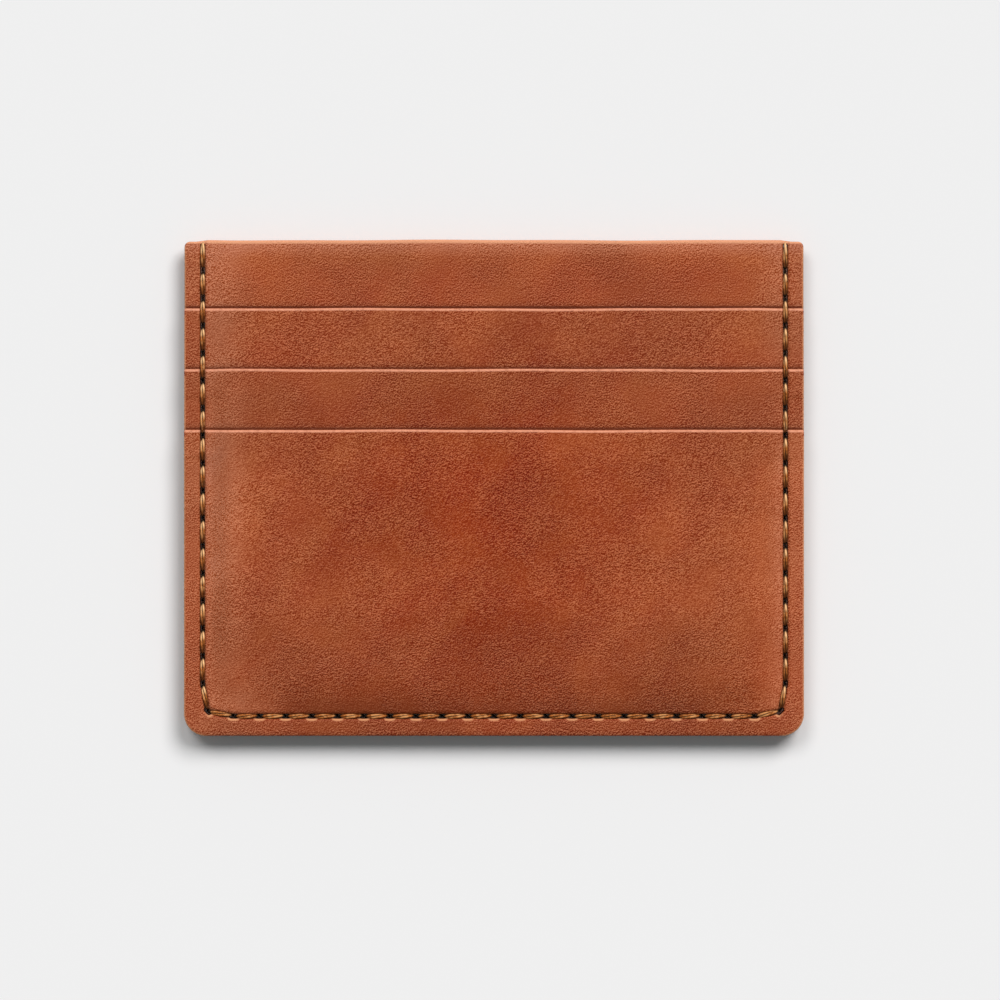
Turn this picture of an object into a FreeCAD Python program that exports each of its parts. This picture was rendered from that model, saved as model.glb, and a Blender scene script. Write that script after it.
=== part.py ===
import FreeCAD
import Part
import math
import os

# A minimalist card wallet, empty and lying on its back.
#
# Eight leather panels are sewn into one flat case. Each face has a full-size panel and three
# card pockets that overlap like roof tiles, and notes go between the two panels. One rim seam
# runs down the left side, along the bottom and up the right side, and short hem seams close
# the bottoms of the upper and middle pockets on each face.
#
# The wallet's width runs along X, its mouth faces +Y and its front face is up, along +Z.
# The origin is under the middle of the wallet, on the table. Sizes are in millimetres.
# The front half is built outwards from the middle plane, and the back half mirrors it.

# The case
WIDTH = 100.0
HEIGHT = 80.0
MOUTH_CORNER_RADIUS = 0.9
FOOT_CORNER_RADIUS = 3.6

# Leather thicknesses
LEATHER = 0.8  # the two full panels and the two lower pockets
SLIP_LEATHER = 0.5  # the upper and middle pockets, split thinner
SKIVED_EDGE = 0.15  # what is left at the foot of a slip pocket's tabs

# The pockets, on both faces
FIRST_LIP = 11.0  # mouth edge of the wallet to the upper pocket's lip
LIP_STEP = 9.8  # one lip to the next
HEM_ABOVE_FOOT = 13.2  # the middle pocket's hem seam to the wallet's bottom edge
TAB_LENGTH = 14.0  # height of the side tabs that reach into the rim seam
STEM_INSET = 6.4  # wallet's side edge to a slip pocket's side, below its tabs
POCKET_GAP = 0.15  # slack between one layer and the next when empty
CENTRE_GAP = 0.6  # slack between the two full panels when empty

# Pressed rim, and the ramps from it up to the loose middle of each layer
RIM_SEAM_SIDE = 3.0  # rim seam to the wallet's side edge
RIM_SEAM_FOOT = 3.2  # rim seam to the wallet's bottom edge
RIM_SEAM_TOP = 0.5  # last hole to the mouth edge, which it breaks through
PRESSED_PAST_SEAM = 0.6
SIDE_RAMP = 3.0
FOOT_RAMP = 5.0
TAIL_STEP = 0.4  # length over which a layer comes down off a tab's foot

# Rim seam: a saddler's thread in long awl holes
RIM_THREAD = 0.6
RIM_HOLE_LENGTH = 1.6
SIDE_PITCH = 4.45
FOOT_PITCH = 4.2
CORNER_HOLE_INSET = 0.8  # the corner hole lies this far inside both seam lines

# Hem seams: a fine sewing thread
HEM_THREAD = 0.25
HEM_HOLE_LENGTH = 0.8
HEM_PITCH = 4.1
HEM_END_INSET = 2.6  # a slip pocket's side to the end of its hem seam
HEM_ALLOWANCE = 2.0  # pressed leather on each side of a hem seam
HEM_RAMP = 4.8

# Fits
THREAD_CLEARANCE = 0.02  # thread to the surface that it lies on, and to the other thread
HOLE_CLEARANCE = 0.05  # thread to the wall of its hole

# Heights along Y
TOP = HEIGHT / 2
FOOT = -HEIGHT / 2
UPPER_LIP = TOP - FIRST_LIP
MIDDLE_LIP = UPPER_LIP - LIP_STEP
LOWER_LIP = MIDDLE_LIP - LIP_STEP
MIDDLE_HEM = FOOT + HEM_ABOVE_FOOT
UPPER_HEM = MIDDLE_HEM + LIP_STEP
MIDDLE_LOOSE_Y = MIDDLE_HEM + HEM_ALLOWANCE + HEM_RAMP
UPPER_TAIL = UPPER_LIP - TAB_LENGTH
MIDDLE_TAIL = MIDDLE_LIP - TAB_LENGTH

# Places across X
STEM_X = WIDTH / 2 - STEM_INSET
HEM_END_X = STEM_X - HEM_END_INSET
SEAM_X = WIDTH / 2 - RIM_SEAM_SIDE
PRESSED_X = SEAM_X - PRESSED_PAST_SEAM
LOOSE_X = PRESSED_X - SIDE_RAMP
SEAM_FOOT_Y = FOOT + RIM_SEAM_FOOT
PRESSED_FOOT_Y = SEAM_FOOT_Y + PRESSED_PAST_SEAM
LOOSE_FOOT_Y = PRESSED_FOOT_Y + FOOT_RAMP

# Undersides of the front layers above the middle plane, where they lie loose
PANEL_Z = CENTRE_GAP / 2
UPPER_Z = PANEL_Z + LEATHER + POCKET_GAP
MIDDLE_Z = UPPER_Z + SLIP_LEATHER + POCKET_GAP
LOWER_Z = MIDDLE_Z + SLIP_LEATHER + POCKET_GAP
HALF_THICKNESS = LOWER_Z + LEATHER

# The lower pocket clears the middle pocket's hem seam first, and then its loose part
HEM_TOP_Z = PANEL_Z + LEATHER + SLIP_LEATHER + HEM_THREAD + THREAD_CLEARANCE + POCKET_GAP


def tab_thickness(y, tail):
    """A slip pocket's thickness in the rim, thinning from its lip to the foot of its tabs."""
    share = (y - tail) / TAB_LENGTH
    return SKIVED_EDGE + share * (SLIP_LEATHER - SKIVED_EDGE)


class Station:
    """One line across a panel: its underside and thickness in the rim and where it is loose."""

    def __init__(self, y, rim_z, loose_z, rim_thickness, loose_thickness):
        self.y = y
        self.rim_z = rim_z
        self.loose_z = loose_z
        self.rim_thickness = rim_thickness
        self.loose_thickness = loose_thickness

    def at(self, looseness):
        """(underside, outside) heights, from 0 in the rim to 1 where the panel is loose."""
        under = self.rim_z + looseness * (self.loose_z - self.rim_z)
        thick = self.rim_thickness + looseness * (self.loose_thickness - self.rim_thickness)
        return under, under + thick


def full_leather(y, rim_z, loose_z):
    """A station of a panel that is as thick in the rim as in the middle."""
    return Station(y, rim_z, loose_z, LEATHER, LEATHER)


def panel_stations():
    return [
        full_leather(FOOT, 0.0, 0.0),
        full_leather(PRESSED_FOOT_Y, 0.0, 0.0),
        full_leather(LOOSE_FOOT_Y, 0.0, PANEL_Z),
        full_leather(TOP, 0.0, PANEL_Z),
    ]


def slip_hem_stations(hem, loose_z):
    """The bottom of a slip pocket, sewn flat onto the panel and then rising off it."""
    hem_z = PANEL_Z + LEATHER
    return [
        Station(hem - HEM_ALLOWANCE, LEATHER, hem_z, SLIP_LEATHER, SLIP_LEATHER),
        Station(hem + HEM_ALLOWANCE, LEATHER, hem_z, SLIP_LEATHER, SLIP_LEATHER),
        Station(hem + HEM_ALLOWANCE + HEM_RAMP, LEATHER, loose_z, SLIP_LEATHER, SLIP_LEATHER),
    ]


def upper_stations():
    return slip_hem_stations(UPPER_HEM, UPPER_Z) + [
        Station(UPPER_TAIL, LEATHER, UPPER_Z, SKIVED_EDGE, SLIP_LEATHER),
        Station(UPPER_LIP, LEATHER, UPPER_Z, SLIP_LEATHER, SLIP_LEATHER),
    ]


def middle_stations():
    def tab(y, rim_z):
        return Station(y, rim_z, MIDDLE_Z, tab_thickness(y, MIDDLE_TAIL), SLIP_LEATHER)

    return slip_hem_stations(MIDDLE_HEM, MIDDLE_Z) + [
        tab(MIDDLE_TAIL, LEATHER),
        tab(UPPER_TAIL - TAIL_STEP, LEATHER),
        tab(UPPER_TAIL, LEATHER + SKIVED_EDGE),
        tab(MIDDLE_LIP, LEATHER + tab_thickness(MIDDLE_LIP, UPPER_TAIL)),
    ]


def lower_stations():
    return [
        full_leather(FOOT, LEATHER, LEATHER),
        full_leather(PRESSED_FOOT_Y, LEATHER, LEATHER),
        full_leather(LOOSE_FOOT_Y, LEATHER, HEM_TOP_Z),
        full_leather(MIDDLE_LOOSE_Y, LEATHER, LOWER_Z),
        full_leather(MIDDLE_TAIL - TAIL_STEP, LEATHER, LOWER_Z),
        full_leather(MIDDLE_TAIL, LEATHER + SKIVED_EDGE, LOWER_Z),
        full_leather(LOWER_LIP, LEATHER + tab_thickness(LOWER_LIP, MIDDLE_TAIL), LOWER_Z),
    ]


def same_point(a, b):
    return a.distanceToPoint(b) < 1e-6


def flat_faces(corners):
    """A four-cornered patch as one flat face, or as two triangles where it is twisted.

    The fold starts at the corner nearest a foot corner of the wallet, as it does in every
    layer, so that stacked layers fold alike and don't cut into each other.
    """
    first = max(range(4), key=lambda i: abs(corners[i].x) - corners[i].y)
    a, b, c, d = corners[first:] + corners[:first]
    normal = (b - a).cross(c - a)
    twist = abs(normal.dot(d - a)) / max(normal.Length, 1e-9)
    outlines = [[a, b, c, d]] if twist < 1e-7 else [[a, b, c], [a, c, d]]
    return [Part.Face(Part.makePolygon(outline + [outline[0]])) for outline in outlines]


def sheet_solid(stations):
    """A closed sheet of leather, flat along the rim and raised in the middle."""
    columns = [
        (-WIDTH / 2, 0.0),
        (-PRESSED_X, 0.0),
        (-LOOSE_X, 1.0),
        (LOOSE_X, 1.0),
        (PRESSED_X, 0.0),
        (WIDTH / 2, 0.0),
    ]
    rings = []
    for x, looseness in columns:
        heights = [(s.y, *s.at(looseness)) for s in stations]
        ring = [FreeCAD.Vector(x, y, under) for y, under, _ in heights]
        ring += [FreeCAD.Vector(x, y, outside) for y, _, outside in reversed(heights)]
        rings.append(ring)
    faces = []
    count = len(rings[0])
    for near, far in zip(rings, rings[1:]):
        for i in range(count):
            j = (i + 1) % count
            faces += flat_faces([near[i], near[j], far[j], far[i]])
    for ring in (rings[0], rings[-1]):
        faces.append(Part.Face(Part.makePolygon(ring + [ring[0]])))
    solid = Part.Solid(Part.Shell(faces))
    if solid.Volume < 0:
        solid.reverse()
    return solid.removeSplitter()


def case_outline():
    """The wallet's outline as a tall prism, with small mouth corners and rounder foot corners."""
    side = WIDTH / 2
    corners = [
        (side, FOOT, FOOT_CORNER_RADIUS),
        (side, TOP, MOUTH_CORNER_RADIUS),
        (-side, TOP, MOUTH_CORNER_RADIUS),
        (-side, FOOT, FOOT_CORNER_RADIUS),
    ]
    points = [FreeCAD.Vector(x, y, -HALF_THICKNESS) for x, y, _ in corners]
    outline = rounded_wire(points, [radius for _, _, radius in corners], closed=True)
    return Part.Face(outline).extrude(FreeCAD.Vector(0, 0, 4 * HALF_THICKNESS))


def rounded_wire(points, radii, closed=False):
    """Straight runs through the points, joined by tangent arcs of the given radii."""
    count = len(points)
    turns = range(count) if closed else range(1, count - 1)
    arcs = {}
    for i in turns:
        corner, before, after = points[i], points[i - 1], points[(i + 1) % count]
        back, ahead = (before - corner).normalize(), (after - corner).normalize()
        half_turn = (math.pi - back.getAngle(ahead)) / 2
        if half_turn < 1e-6:
            continue
        reach = radii[i] * math.tan(half_turn)
        middle = (back + ahead).normalize() * (radii[i] / math.cos(half_turn) - radii[i])
        arcs[i] = (corner + back * reach, corner + middle, corner + ahead * reach)
    edges = []
    for i in range(count if closed else count - 1):
        j = (i + 1) % count
        start = arcs[i][2] if i in arcs else points[i]
        end = arcs[j][0] if j in arcs else points[j]
        if not same_point(start, end):
            edges.append(Part.LineSegment(start, end).toShape())
        if j in arcs:
            edges.append(Part.Arc(*arcs[j]).toShape())
    return Part.Wire(edges)


class Hole:
    """An awl hole: its centre on the seam, the direction it is cut along, and its place in the row."""

    def __init__(self, x, y, direction):
        self.centre = FreeCAD.Vector(x, y, 0)
        self.direction = FreeCAD.Vector(*direction, 0).normalize()


def even_steps(start, end, pitch):
    """Places from start to end in equal steps of about the given pitch."""
    count = round(abs(end - start) / pitch)
    return [start + (end - start) * i / count for i in range(count + 1)]


def rim_holes():
    """The rim seam's holes in sewing order, down the left side, along the foot and up the right."""
    top_hole = TOP - RIM_SEAM_TOP
    corner_y = SEAM_FOOT_Y + CORNER_HOLE_INSET
    corner_x = SEAM_X - CORNER_HOLE_INSET
    side_ys = even_steps(top_hole, corner_y, SIDE_PITCH)
    foot_xs = even_steps(-corner_x, corner_x, FOOT_PITCH)
    left = [Hole(-SEAM_X, y, (0, -1)) for y in side_ys[:-1]]
    foot = [Hole(x, SEAM_FOOT_Y, (1, 0)) for x in foot_xs[1:-1]]
    right = [Hole(SEAM_X, y, (0, 1)) for y in reversed(side_ys[:-1])]
    left_corner = [Hole(-corner_x, corner_y, (1, -1))]
    right_corner = [Hole(corner_x, corner_y, (1, 1))]
    return left + left_corner + foot + right_corner + right


def hem_holes(hem):
    return [Hole(x, hem, (1, 0)) for x in even_steps(-HEM_END_X, HEM_END_X, HEM_PITCH)]


def hole_cutters(holes, length, thread):
    """Tall round-ended slots for a thread, one at each hole, through the front half's layers."""
    width = thread + 2 * HOLE_CLEARANCE
    cutters = []
    depth = 4 * HALF_THICKNESS
    for hole in holes:
        along = hole.direction * ((length - width) / 2)
        across = FreeCAD.Vector(-hole.direction.y, hole.direction.x, 0) * (width / 2)
        tip = hole.direction * (length / 2)
        base = hole.centre - FreeCAD.Vector(0, 0, depth / 2)
        a, b = base + along - across, base + along + across
        c, d = base - along + across, base - along - across
        outline = Part.Wire(
            [
                Part.Arc(a, base + tip, b).toShape(),
                Part.LineSegment(b, c).toShape(),
                Part.Arc(c, base - tip, d).toShape(),
                Part.LineSegment(d, a).toShape(),
            ]
        )
        cutters.append(Part.Face(outline).extrude(FreeCAD.Vector(0, 0, depth)))
    return Part.makeCompound(cutters)


def stitched_thread(holes, run_heights, loop_z, hole_length, thread):
    """A thread that runs over the surface from hole to hole and dips into each to loop_z.

    run_heights has the height of the thread's middle over each stitch. The thread starts and
    ends inside the first and last holes. Its bends are as tight as the holes need.
    """
    half = (hole_length - thread) / 2 - HOLE_CLEARANCE
    shortest_leg = min(abs(height - loop_z) for height in run_heights)
    bend = min(thread / 2 + HOLE_CLEARANCE, shortest_leg / 2, half)
    points = []
    for i, hole in enumerate(holes):
        arrives = hole.centre - hole.direction * half
        leaves = hole.centre + hole.direction * half
        if i > 0:
            points.append(arrives + FreeCAD.Vector(0, 0, run_heights[i - 1]))
            points.append(arrives + FreeCAD.Vector(0, 0, loop_z))
        if i < len(holes) - 1:
            points.append(leaves + FreeCAD.Vector(0, 0, loop_z))
            points.append(leaves + FreeCAD.Vector(0, 0, run_heights[i]))
    path = rounded_wire(points, [bend] * len(points))
    start = path.OrderedVertexes[0].Point
    ring = Part.Wire([Part.makeCircle(thread / 2, start, FreeCAD.Vector(0, 0, 1))])
    return path.makePipeShell([ring], True, False)


def rim_surface(y):
    """Height of the pressed rim's outside at y, whichever layer lies outermost there."""
    layers = [
        (panel_stations(), FOOT),
        (upper_stations(), UPPER_TAIL),
        (middle_stations(), MIDDLE_TAIL),
        (lower_stations(), FOOT),
    ]
    height = 0.0
    for stations, rim_foot in layers:
        for low, high in zip(stations, stations[1:]):
            if low.y <= y <= high.y and y >= rim_foot:
                share = (y - low.y) / (high.y - low.y)
                low_top, high_top = low.at(0)[1], high.at(0)[1]
                height = max(height, low_top + share * (high_top - low_top))
    return height


def rim_run_heights(holes):
    """A height for each rim stitch that clears the highest leather it passes over."""
    edges = [UPPER_LIP, MIDDLE_LIP, LOWER_LIP, UPPER_TAIL, MIDDLE_TAIL]
    heights = []
    for a, b in zip(holes, holes[1:]):
        low, high = sorted((a.centre.y, b.centre.y))
        low, high = low - RIM_HOLE_LENGTH / 2, high + RIM_HOLE_LENGTH / 2
        crossed = [low, high] + [y for y in edges if low < y < high]
        surface = max(rim_surface(min(max(y, FOOT), TOP)) for y in crossed)
        heights.append(surface + RIM_THREAD / 2 + THREAD_CLEARANCE)
    return heights


def hem_threads(hem):
    """(thread on the pocket's side, thread on the panel's inside) of one hem seam."""
    holes = hem_holes(hem)
    inside = PANEL_Z
    outside = PANEL_Z + LEATHER + SLIP_LEATHER
    middle = (inside + outside) / 2
    off = HEM_THREAD / 2 + THREAD_CLEARANCE
    stitches = len(holes) - 1
    size = (HEM_HOLE_LENGTH, HEM_THREAD)
    needle = stitched_thread(holes, [outside + off] * stitches, middle + off, *size)
    bobbin = stitched_thread(holes, [inside - off] * stitches, middle - off, *size)
    return needle, bobbin


def slip_stem_cutter(hem, tail):
    """Takes the leather off both sides of a slip pocket below its tabs."""
    low = hem - 2 * HEM_ALLOWANCE
    size = (2 * STEM_INSET, tail - low, 4 * HALF_THICKNESS)
    corners = [(-STEM_X - size[0], low, -HALF_THICKNESS), (STEM_X, low, -HALF_THICKNESS)]
    return Part.makeCompound([Part.makeBox(*size, FreeCAD.Vector(*corner)) for corner in corners])


def front_half():
    """Every piece of the front half, by name, above the middle plane."""
    outline = case_outline()
    holes = rim_holes()
    rim = hole_cutters(holes, RIM_HOLE_LENGTH, RIM_THREAD)
    hem_size = (HEM_HOLE_LENGTH, HEM_THREAD)
    upper_hem = hole_cutters(hem_holes(UPPER_HEM), *hem_size)
    middle_hem = hole_cutters(hem_holes(MIDDLE_HEM), *hem_size)
    upper_sides = slip_stem_cutter(UPPER_HEM, UPPER_TAIL)
    middle_sides = slip_stem_cutter(MIDDLE_HEM, MIDDLE_TAIL)

    panel = sheet_solid(panel_stations()).common(outline).cut([rim, upper_hem, middle_hem])
    upper = sheet_solid(upper_stations()).cut([upper_sides, rim, upper_hem])
    middle = sheet_solid(middle_stations()).cut([middle_sides, rim, middle_hem])
    lower = sheet_solid(lower_stations()).common(outline).cut([rim])

    loop_z = RIM_THREAD / 2 + THREAD_CLEARANCE
    run_heights = rim_run_heights(holes)
    rim_thread = stitched_thread(holes, run_heights, loop_z, RIM_HOLE_LENGTH, RIM_THREAD)
    upper_needle, upper_bobbin = hem_threads(UPPER_HEM)
    middle_needle, middle_bobbin = hem_threads(MIDDLE_HEM)
    return {
        "panel": panel,
        "upper_pocket": upper,
        "middle_pocket": middle,
        "lower_pocket": lower,
        "rim_seam_thread": rim_thread,
        "upper_hem_needle_thread": upper_needle,
        "upper_hem_bobbin_thread": upper_bobbin,
        "middle_hem_needle_thread": middle_needle,
        "middle_hem_bobbin_thread": middle_bobbin,
    }


def main():
    os.makedirs("parts", exist_ok=True)
    middle_plane = FreeCAD.Vector(0, 0, HALF_THICKNESS)
    for name, shape in front_half().items():
        mirrored = shape.mirror(FreeCAD.Vector(0, 0, 0), FreeCAD.Vector(0, 0, 1))
        for face, half in (("front", shape), ("back", mirrored)):
            placed = half.translated(middle_plane)
            solids = Part.makeCompound(placed.Solids)
            solids.exportStep(f"parts/{face}_{name}.step")
            box = solids.BoundBox
            print(
                f"{face}_{name}: {len(solids.Solids)} solid(s), {solids.Volume:.1f} mm3, "
                f"z {box.ZMin:.2f} to {box.ZMax:.2f}, valid {solids.isValid()}"
            )


main()
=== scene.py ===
import math

import bpy
import numpy as np
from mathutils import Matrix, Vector
from mathutils.geometry import delaunay_2d_cdt


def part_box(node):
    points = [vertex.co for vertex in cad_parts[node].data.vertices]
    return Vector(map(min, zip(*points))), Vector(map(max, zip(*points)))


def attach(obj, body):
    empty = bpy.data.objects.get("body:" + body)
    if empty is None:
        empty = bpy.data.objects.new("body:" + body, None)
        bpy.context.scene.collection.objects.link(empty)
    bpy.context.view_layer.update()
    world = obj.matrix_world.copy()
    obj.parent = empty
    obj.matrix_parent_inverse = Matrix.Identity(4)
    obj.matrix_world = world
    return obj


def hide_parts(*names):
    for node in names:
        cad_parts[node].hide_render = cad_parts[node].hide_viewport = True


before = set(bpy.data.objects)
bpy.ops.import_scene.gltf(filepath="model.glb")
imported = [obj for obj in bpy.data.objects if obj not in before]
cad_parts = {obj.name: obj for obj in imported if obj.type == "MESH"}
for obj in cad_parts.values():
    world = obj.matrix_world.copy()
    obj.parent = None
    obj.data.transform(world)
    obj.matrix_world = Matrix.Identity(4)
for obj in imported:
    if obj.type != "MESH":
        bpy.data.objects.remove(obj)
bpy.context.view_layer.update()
bpy.ops.object.select_all(action="DESELECT")


# -------------------- the full panels
# Two full-size panels of oiled cognac leather, cut with a clicker knife and lying back to
# back. Only their top strips and their rims show. Everything else is sewn onto them.
# Sizes are in millimetres, heights are above the plane where the two panels' rims meet.

MM = 0.001
panel_low, panel_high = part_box("front_panel")
SIDE = panel_high.x / MM
MOUTH = panel_high.y / MM
FOOT = panel_low.y / MM
MEETING_Z = panel_low.z / MM

HIDE = 0.8
PANEL_LOOSE = 1.1  # the outside of a full panel where it lies loose
FOOT_RADIUS = 3.6
MOUTH_RADIUS = 0.9
MOUTH_DROP = 0.25  # the rim's mouth edge is pulled down this far by the seam

SEAM_SIDE = 3.0
SEAM_FOOT = 3.2
SEAM_X = SIDE - SEAM_SIDE
SEAM_Y = FOOT + SEAM_FOOT
CORNER_INSET = 0.8
TOP_HOLE = MOUTH - 0.5
SIDE_PITCH, FOOT_PITCH = 4.45, 4.2
HOLE_LENGTH = 1.3
HOLE_WIDTH = 0.62
GROOVE_DEPTH = 0.26
GROOVE_HALF_WIDTH = 0.34
PUCKER = 0.12  # how much wider the groove is pulled at each hole
SHOULDER = 0.07  # how far the leather swells beside the groove


def smooth(low, high, value):
    """0 below low, 1 above high, and an even S curve in between."""
    t = np.clip((value - low) / (high - low), 0.0, 1.0)
    return t * t * (3 - 2 * t)


def even_steps(start, end, pitch):
    return np.linspace(start, end, round(abs(end - start) / pitch) + 1)


def rim_holes():
    """(x, y, direction x, direction y) of each hole of the rim seam, in sewing order."""
    corner_x, corner_y = SEAM_X - CORNER_INSET, SEAM_Y + CORNER_INSET
    side_ys = even_steps(TOP_HOLE, corner_y, SIDE_PITCH)
    foot_xs = even_steps(-corner_x, corner_x, FOOT_PITCH)
    slant = math.sqrt(0.5)
    left = [(-SEAM_X, y, 0.0, -1.0) for y in side_ys[:-1]]
    foot = [(x, SEAM_Y, 1.0, 0.0) for x in foot_xs[1:-1]]
    right = [(SEAM_X, y, 0.0, 1.0) for y in side_ys[-2::-1]]
    left_corner = [(-corner_x, corner_y, slant, -slant)]
    right_corner = [(corner_x, corner_y, slant, slant)]
    return np.array(left + left_corner + foot + right_corner + right)


RIM_HOLES = rim_holes()
END_HOLE_SHIFT = 0.42  # the end holes are short, so that they stay inside the mouth edge


def stadiums(holes, length, width):
    """Round-ended slots as (ends of the middle line, radius)."""
    half = (length - width) / 2
    return [(h[:2] - h[2:] * half, h[:2] + h[2:] * half, width / 2) for h in holes]


def rim_slots():
    """The rim seam's holes. The first and last are cut short below the mouth edge."""
    slots = stadiums(RIM_HOLES, HOLE_LENGTH, HOLE_WIDTH)
    for i in (0, -1):
        a, b, radius = slots[i]
        low = np.array([a[0], min(a[1], b[1])])
        slots[i] = (low, low + [0, TOP_HOLE - END_HOLE_SHIFT - 0.2 - low[1]], radius * 0.8)
    return slots


def ring(slot, grow, count):
    """Points round a slot, at a distance grow outside its wall."""
    a, b, radius = slot
    along = (b - a) / np.linalg.norm(b - a)
    across = np.array([-along[1], along[0]])
    points = []
    for end, turn in ((b, -math.pi / 2), (a, math.pi / 2)):
        for angle in np.linspace(turn, turn + math.pi, count // 2):
            out = along * math.cos(angle) + across * math.sin(angle)
            points.append(end + out * (radius + grow))
    return points


def distance_to_path(points, path, closed):
    """Each point's distance to a line of straight runs."""
    path = np.asarray(path)
    starts = path if closed else path[:-1]
    ends = np.roll(path, -1, axis=0) if closed else path[1:]
    run = ends - starts
    squared = np.maximum((run**2).sum(axis=1), 1e-12)
    nearest = np.empty(len(points))
    for first in range(0, len(points), 2000):
        some = points[first : first + 2000, None, :] - starts[None]
        share = np.clip((some * run).sum(axis=2) / squared, 0, 1)
        gap = some - share[..., None] * run
        nearest[first : first + 2000] = np.sqrt((gap**2).sum(axis=2)).min(axis=1)
    return nearest


def within(points, loop):
    """Whether each point is inside a closed loop."""
    loop = np.asarray(loop)
    after = np.roll(loop, -1, axis=0)
    inside = np.zeros(len(points), bool)
    for (x0, y0), (x1, y1) in zip(loop, after):
        if y0 == y1:
            continue
        crosses = (points[:, 1] < y0) != (points[:, 1] < y1)
        inside ^= crosses & (points[:, 0] < x0 + (points[:, 1] - y0) * (x1 - x0) / (y1 - y0))
    return inside


def slot_distance(points, slots):
    """Each point's distance to the wall of the nearest slot, less than 0 inside it."""
    nearest = np.full(len(points), 99.0)
    for a, b, radius in slots:
        nearest = np.minimum(nearest, distance_to_path(points, [a, b], False) - radius)
    return nearest


# How finely a panel is divided. Rows of points run beside its seam, its edge and its holes.
FINE_STEP, COARSE_STEP, SEAM_STEP, OUTLINE_STEP = 0.9, 2.4, 0.37, 0.5
SEAM_ROWS = (0.0, 0.24, 0.36, 0.46, 0.58, 0.75, 1.05, 1.5)
EDGE_ROWS = (0.02, 0.06, 0.12, 0.2, 0.28, 0.36, 0.5, 0.66)
HOLE_ROWS = (0.05, 0.12, 0.22)
RING_COUNT = 20  # points round a hole
SEAM_CLEAR, EDGE_CLEAR, HOLE_CLEAR = 1.9, 0.9, 0.3  # where the rows end and the grid begins
TOO_NEAR = 0.015


def rounded_outline(corners):
    """Points round a shape whose corners are (x, y, radius), anticlockwise."""
    points = []
    for i, (x, y, radius) in enumerate(corners):
        here = np.array([x, y])
        back = np.array(corners[i - 1][:2]) - here
        ahead = np.array(corners[(i + 1) % len(corners)][:2]) - here
        back, ahead = back / np.linalg.norm(back), ahead / np.linalg.norm(ahead)
        half = math.acos(back @ ahead) / 2
        middle = (back + ahead) / np.linalg.norm(back + ahead)
        centre = here + middle * radius / math.sin(half)
        start = here + back * radius / math.tan(half) - centre
        end = here + ahead * radius / math.tan(half) - centre
        first = math.atan2(start[1], start[0])
        turn = (math.atan2(end[1], end[0]) - first + math.pi) % (2 * math.pi) - math.pi
        count = max(2, math.ceil(abs(turn) * radius / (OUTLINE_STEP / 2)))
        for angle in np.linspace(first, first + turn, count + 1):
            points.append(centre + radius * np.array([math.cos(angle), math.sin(angle)]))
    filled = []
    for here, ahead in zip(points, points[1:] + points[:1]):
        count = max(1, math.ceil(np.linalg.norm(ahead - here) / OUTLINE_STEP))
        filled += [here + (ahead - here) * k / count for k in range(count)]
    return filled


def mirrored_outline(right):
    """An outline from the (x, y, radius) corners of its right half, from the foot up."""
    left = [(-x, y, radius) for x, y, radius in reversed(right)]
    return rounded_outline(left[-1:] + right + left[:-1])


def inset(loop, distance):
    """The loop's points moved inwards, square to it."""
    loop = np.asarray(loop)
    along = np.roll(loop, -1, axis=0) - np.roll(loop, 1, axis=0)
    along /= np.linalg.norm(along, axis=1)[:, None]
    return loop + np.stack([-along[:, 1], along[:, 0]], axis=1) * distance


SEAM_PATH = [(-SEAM_X, MOUTH + 1)]
SEAM_PATH += [tuple(h[:2]) for h in RIM_HOLES[1:-1]]
SEAM_PATH += [(SEAM_X, MOUTH + 1)]


def rows_along_seam():
    """Points in rows along both sides of the rim seam."""
    path = np.asarray(SEAM_PATH)
    points = []
    for start, end in zip(path, path[1:]):
        along = (end - start) / np.linalg.norm(end - start)
        across = np.array([-along[1], along[0]])
        count = math.ceil(np.linalg.norm(end - start) / SEAM_STEP)
        for k in range(count):
            here = start + (end - start) * k / count
            for offset in SEAM_ROWS:
                points.append(here + across * offset)
                points.append(here - across * offset)
    return np.array(points)


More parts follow.
